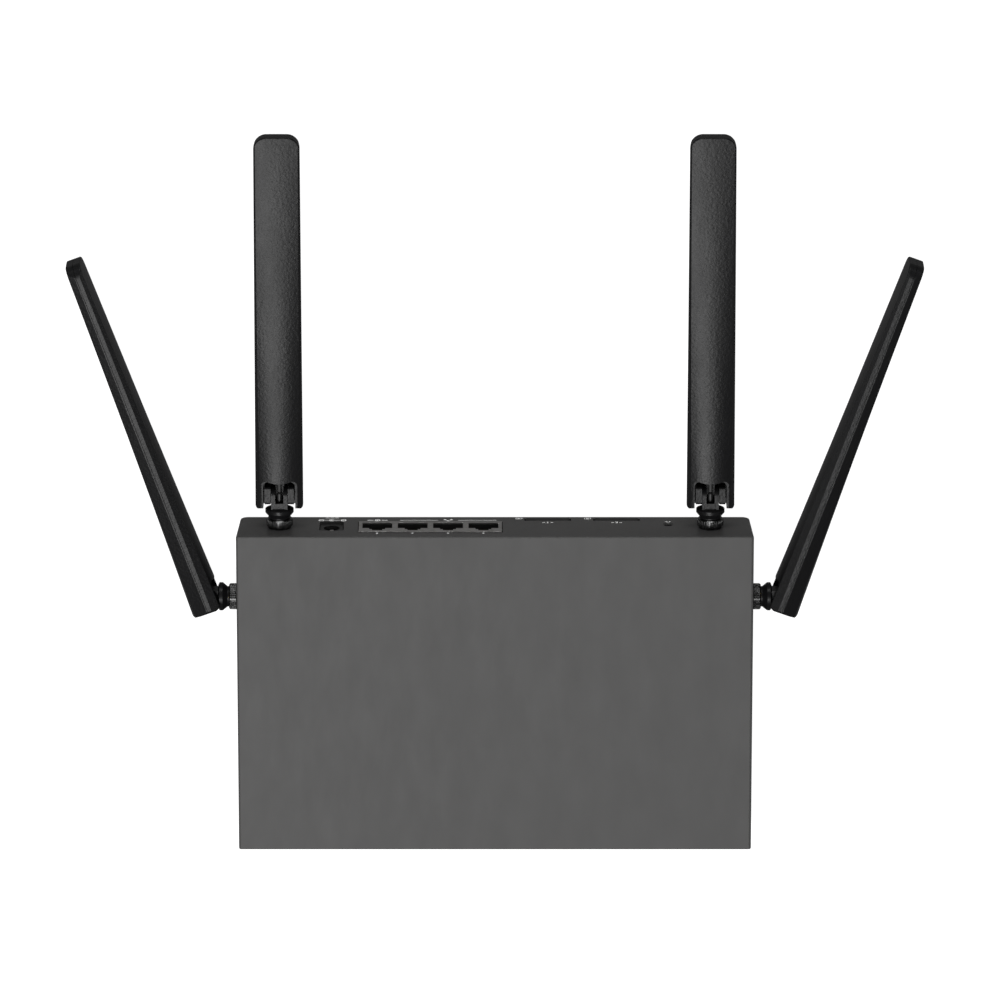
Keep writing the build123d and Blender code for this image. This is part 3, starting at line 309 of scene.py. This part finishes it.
def dress_nodes():
    """Gives every CAD node the finish of its slot in the record."""
    for part in frame["record"]["subparts"]:
        node = frame["nodes"].get(part["node"])
        if node is None:
            continue
        finish = SLOT_FINISHES[part["material_slot"]]
        if not node.material_slots:
            node.data.materials.append(finish)
        for place in node.material_slots:
            place.material = finish


# ---------------------------------------------------------------- printed marks

INK_RAISED = 0.02 * MM      # the ink's upper face above the wall
PORT_PITCH = 13.97 * MM     # between the network sockets
SIGN_RADIUS = 0.95 * MM     # of the round signs by the sockets
LINE = 0.36 * MM


def ribbon(path, width, closed=False):
    """Quads along a path: each point is moved half the width to both sides, square to the run."""
    path = np.asarray(path, float)
    if closed:
        run = np.roll(path, -1, 0) - np.roll(path, 1, 0)
    else:
        run = np.gradient(path, axis=0)
    run /= np.linalg.norm(run, axis=1)[:, None]
    side = np.stack([-run[:, 1], run[:, 0]], 1) * width / 2
    points = np.concatenate([path + side, path - side])
    count = len(path)
    i = np.arange(count if closed else count - 1)
    j = (i + 1) % count
    return points, np.stack([i, i + count, j + count, j], 1)


def ring(x, z, radius, width=LINE, start=0.0, end=360.0):
    """A circle or an arc: points at equal steps of angle."""
    whole = end - start >= 360
    angle = np.radians(np.linspace(start, end, 28, endpoint=not whole))
    path = np.stack([x + radius * np.cos(angle), z + radius * np.sin(angle)], 1)
    return ribbon(path, width, whole)


def dot(x, z, radius):
    """A filled disc, as a ring as wide as its radius."""
    return ring(x, z, radius / 2, radius)


def line(x0, z0, x1, z1, width=LINE):
    """A straight stroke."""
    return ribbon([(x0, z0), (x1, z1)], width)


def shape(points, width=LINE, closed=False):
    """A bent stroke through several points."""
    return ribbon(points, width, closed)


def print_marks(name, strokes, wall_y, facing, body, finish):
    """One mesh of thin ink on a wall that faces +Y (facing 1) or -Y (facing -1)."""
    points, faces, base = [], [], 0
    for flat, quads in strokes:
        points.append(flat)
        faces.append(quads + base)
        base += len(flat)
    flat = np.concatenate(points)
    quads = np.concatenate(faces)
    solid = np.stack([flat[:, 0], np.full(len(flat), wall_y + facing * INK_RAISED), flat[:, 1]], 1)
    a, b, c = (solid[quads[:, k]] for k in range(3))
    outward = np.cross(b - a, c - b)[:, 1] * facing > 0
    quads = np.where(outward[:, None], quads, quads[:, ::-1])
    mesh = bpy.data.meshes.new(name)
    mesh.from_pydata(solid.tolist(), [], quads.tolist())
    mesh.materials.append(finish)
    piece = bpy.data.objects.new(name, mesh)
    bpy.context.scene.collection.objects.link(piece)
    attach(piece, body)
    return piece


def rear_marks():
    """Generic signs by the sockets: polarity, network, card outlines, numbers and reset."""
    gang_low, gang_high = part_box("ethernet_shield")
    power_low, power_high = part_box("power_jack_housing")
    cards_low, cards_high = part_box("sim_shells")
    reset_low, reset_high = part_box("reset_plunger")
    gang_x = (gang_low.x + gang_high.x) / 2
    ports = [gang_x + PORT_PITCH * (i - 1.5) for i in range(4)]
    under = gang_low.z - 2.3 * MM
    over = gang_high.z + 1.2 * MM
    marks = [dot(x, over, 0.45 * MM) for x in ports]
    # a globe between two short bars marks the line in
    x = ports[0]
    marks += [ring(x, under, SIGN_RADIUS), line(x, under - 0.9 * MM, x, under + 0.9 * MM),
              line(x - 0.9 * MM, under, x + 0.9 * MM, under)]
    for side in (-1, 1):
        marks.append(line(x + side * 1.7 * MM, under, x + side * 4.0 * MM, under, 0.5 * MM))
    # a bracket over the other three, broken by three linked boxes
    x = ports[2]
    for start, end in ((ports[1] - 5.1 * MM, x - 3.9 * MM), (x + 3.9 * MM, ports[3] + 5.1 * MM)):
        marks.append(line(start, under, end, under, 0.3 * MM))
    for dx, dz in ((0.0, 0.75), (-1.3, -0.75), (1.3, -0.75)):
        marks.append(line(x + (dx - 0.5) * MM, under + dz * MM, x + (dx + 0.5) * MM,
                          under + dz * MM, 0.75 * MM))
    marks += [line(x, under + 0.6 * MM, x, under, 0.2 * MM),
              line(x - 1.3 * MM, under, x + 1.3 * MM, under, 0.2 * MM)]
    # polarity: outside minus, centre plus, and the direct-current sign below
    x = (power_low.x + power_high.x) / 2
    for dx in (-4.2, 4.6):
        marks += [ring(x + dx * MM, under, SIGN_RADIUS),
                  line(x + (dx - 0.5) * MM, under, x + (dx + 0.5) * MM, under, 0.3 * MM)]
    marks.append(line(x + 4.6 * MM, under - 0.5 * MM, x + 4.6 * MM, under + 0.5 * MM, 0.3 * MM))
    marks += [ring(x, under, SIGN_RADIUS, LINE, 40, 320), dot(x, under, 0.45 * MM),
              line(x - 3.2 * MM, under, x - 1.0 * MM, under, 0.3 * MM),
              line(x, under, x + 3.6 * MM, under, 0.3 * MM)]
    low = under - 3.0 * MM
    marks.append(line(x - 2.6 * MM, low + 0.3 * MM, x + 2.6 * MM, low + 0.3 * MM, 0.25 * MM))
    for i in range(3):
        start = x + (-2.6 + 1.9 * i) * MM
        marks.append(line(start, low - 0.4 * MM, start + 1.4 * MM, low - 0.4 * MM, 0.25 * MM))
    # card outlines left of the slots, and their numbers above
    numeral_z = cards_high.z + 2.6 * MM
    for number, x in ((1, cards_low.x + 9 * MM), (2, cards_high.x - 9 * MM)):
        left, z = x - 12.6 * MM, cards_low.z - 0.6 * MM
        outline = [(left, z - 0.8 * MM), (left + 2.4 * MM, z - 0.8 * MM),
                   (left + 2.4 * MM, z + 0.3 * MM), (left + 1.9 * MM, z + 0.8 * MM),
                   (left, z + 0.8 * MM)]
        marks.append(shape(outline, 0.3 * MM, True))
        marks.append(line(left + 0.6 * MM, z, left + 1.6 * MM, z, 0.5 * MM))
        if number == 1:
            figure = [(x - 0.4, 0.45), (x, 0.8), (x, -0.8)]
        else:
            figure = [(x - 0.5, 0.5), (x - 0.1, 0.8), (x + 0.4, 0.5), (x + 0.3, 0.1),
                      (x - 0.5, -0.8), (x + 0.55, -0.8)]
        figure = [((px - x) * MM + x, numeral_z + pz * MM) for px, pz in figure]
        marks.append(shape(figure, 0.34 * MM))
        for side in (-1, 1):
            marks.append(line(x + side * 1.1 * MM, numeral_z, x + side * 2.1 * MM, numeral_z,
                              0.4 * MM))
    # a turned arrow below the reset hole
    x = (reset_low.x + reset_high.x) / 2
    z = (reset_low.z + reset_high.z) / 2 - 3.4 * MM
    marks.append(ring(x, z, 0.75 * MM, 0.24 * MM, -60, 215))
    marks.append(shape([(x - 1.15 * MM, z + 0.1 * MM), (x - 0.6 * MM, z - 0.45 * MM),
                        (x - 0.05 * MM, z + 0.0 * MM)], 0.2 * MM))
    return marks


def front_marks():
    """Generic signs below the front lights."""
    low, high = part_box("light_guide")
    spots = np.linspace(low.x + 2 * MM, high.x - 2 * MM, 6)
    z = low.z - 2.4 * MM
    marks = []
    # power, line in, signal bars, radio waves, local network, card
    x = spots[0]
    marks += [ring(x, z, 0.8 * MM, 0.24 * MM, 120, 420), line(x, z, x, z + 1.0 * MM, 0.24 * MM)]
    x = spots[1]
    marks += [ring(x, z, 0.85 * MM, 0.3 * MM), line(x, z - 0.8 * MM, x, z + 0.8 * MM, 0.2 * MM),
              line(x - 0.8 * MM, z, x + 0.8 * MM, z, 0.2 * MM)]
    for i in range(4):
        x = spots[2] + (i - 1.5) * 0.6 * MM
        marks.append(line(x, z - 0.8 * MM, x, z + (-0.4 + 0.4 * i) * MM, 0.34 * MM))
    x = spots[3]
    marks.append(dot(x, z - 0.7 * MM, 0.25 * MM))
    for radius in (0.7, 1.2):
        marks.append(ring(x, z - 0.7 * MM, radius * MM, 0.3 * MM, 45, 135))
    x = spots[4]
    for dx, dz in ((0.0, 0.6), (-0.8, -0.6), (0.8, -0.6)):
        marks.append(line(x + (dx - 0.32) * MM, z + dz * MM, x + (dx + 0.32) * MM, z + dz * MM,
                          0.5 * MM))
    marks += [line(x, z + 0.4 * MM, x, z - 0.05 * MM, 0.18 * MM),
              line(x - 0.8 * MM, z - 0.05 * MM, x + 0.8 * MM, z - 0.05 * MM, 0.18 * MM)]
    x = spots[5]
    card = [(-0.7, -0.85), (0.7, -0.85), (0.7, 0.5), (0.35, 0.85), (-0.7, 0.85)]
    marks.append(shape([(x + dx * MM, z + dz * MM) for dx, dz in card], 0.2 * MM, True))
    return marks


dress_nodes()
white_ink = ink("white_ink", (0.82, 0.82, 0.81, 1.0))
shell_low, shell_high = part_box("base_shell")
print_marks("rear_printing", rear_marks(), shell_high.y, 1, "case", white_ink)
print_marks("front_printing", front_marks(), shell_low.y, -1, "case", white_ink)


# ---------------------------------------------------------------- stage, lights and camera

def pale_floor():
    """A wide, lit sheet of milky acrylic under the feet, faintly cloudy."""
    finish = Finish("milky_acrylic", Specular_IOR_Level=0.0, Roughness=0.9, Emission_Strength=1.0)
    tone = finish.noise(finish.here(), 60.0, 3.0)
    finish.give(Base_Color=finish.blend(tone, (0.2, 0.2, 0.2, 1.0), (0.22, 0.22, 0.22, 1.0)))
    finish.give(Emission_Color=finish.blend(tone, (0.97, 0.97, 0.97, 1.0), (0.99, 0.99, 0.99, 1.0)))
    reach = 12.0
    mesh = bpy.data.meshes.new("floor")
    level = -0.1 * MM
    corners = [(-reach, -reach, level), (reach, -reach, level),
               (reach, reach, level), (-reach, reach, level)]
    mesh.from_pydata(corners, [], [(0, 1, 2, 3)])
    mesh.materials.append(finish.material)
    floor = bpy.data.objects.new("floor", mesh)
    floor.visible_glossy = False
    bpy.context.scene.collection.objects.link(floor)
    return floor


def softbox(name, place, aim, width, depth, power):
    """A rectangular area light that faces a point."""
    data = bpy.data.lights.new(name, "AREA")
    data.shape = "RECTANGLE"
    data.size = width
    data.size_y = depth
    data.energy = power
    light = bpy.data.objects.new(name, data)
    light.location = place
    light.rotation_mode = "QUATERNION"
    light.rotation_quaternion = (Vector(aim) - Vector(place)).to_track_quat("-Z", "Y")
    bpy.context.scene.collection.objects.link(light)
    return light


def room_light(level):
    """Even pale light from every side."""
    world = bpy.data.worlds.new("room")
    world.use_nodes = True
    background = world.node_tree.nodes["Background"]
    background.inputs["Color"].default_value = (1.0, 1.0, 1.0, 1.0)
    background.inputs["Strength"].default_value = level
    bpy.context.scene.world = world


CAMERA_LEAN = 18.0          # degrees from straight above, towards the rear
CAMERA_DISTANCE = 3.234
CAMERA_LENS = 296.4         # mm, on a sensor 36 mm wide


def look_down():
    """A long-lens camera, leaning back from straight above towards the rear."""
    lid_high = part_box("top_lid")[1]
    lean = math.radians(CAMERA_LEAN)
    aim = Vector((0.002, shell_high.y + 0.0154, lid_high.z))
    back = Vector((0.0, math.sin(lean), math.cos(lean)))
    up = Vector((0.0, math.cos(lean), -math.sin(lean)))
    right = up.cross(back)
    data = bpy.data.cameras.new("camera")
    data.sensor_width = 36.0
    data.lens = CAMERA_LENS
    data.clip_start = 0.05
    data.clip_end = 60.0
    camera = bpy.data.objects.new("camera", data)
    turn = Matrix((right, up, back)).transposed()
    camera.matrix_world = Matrix.Translation(aim + back * CAMERA_DISTANCE) @ turn.to_4x4()
    bpy.context.scene.collection.objects.link(camera)
    bpy.context.scene.camera = camera


pale_floor()
softbox("key", (-0.7, -0.9, 4.0), (0, 0, 0), 1.7, 1.4, 170.0)
softbox("back_strip", (0.0, 3.6, 1.2), (0, 0, 0), 2.4, 0.4, 60.0)
softbox("left_fill", (-3.4, 0.6, 2.4), (0, 0, 0), 1.2, 1.2, 20.0)
softbox("right_fill", (3.4, 0.6, 2.4), (0, 0, 0), 1.2, 1.2, 20.0)
room_light(0.15)
look_down()
bpy.context.scene.view_settings.view_transform = "Standard"
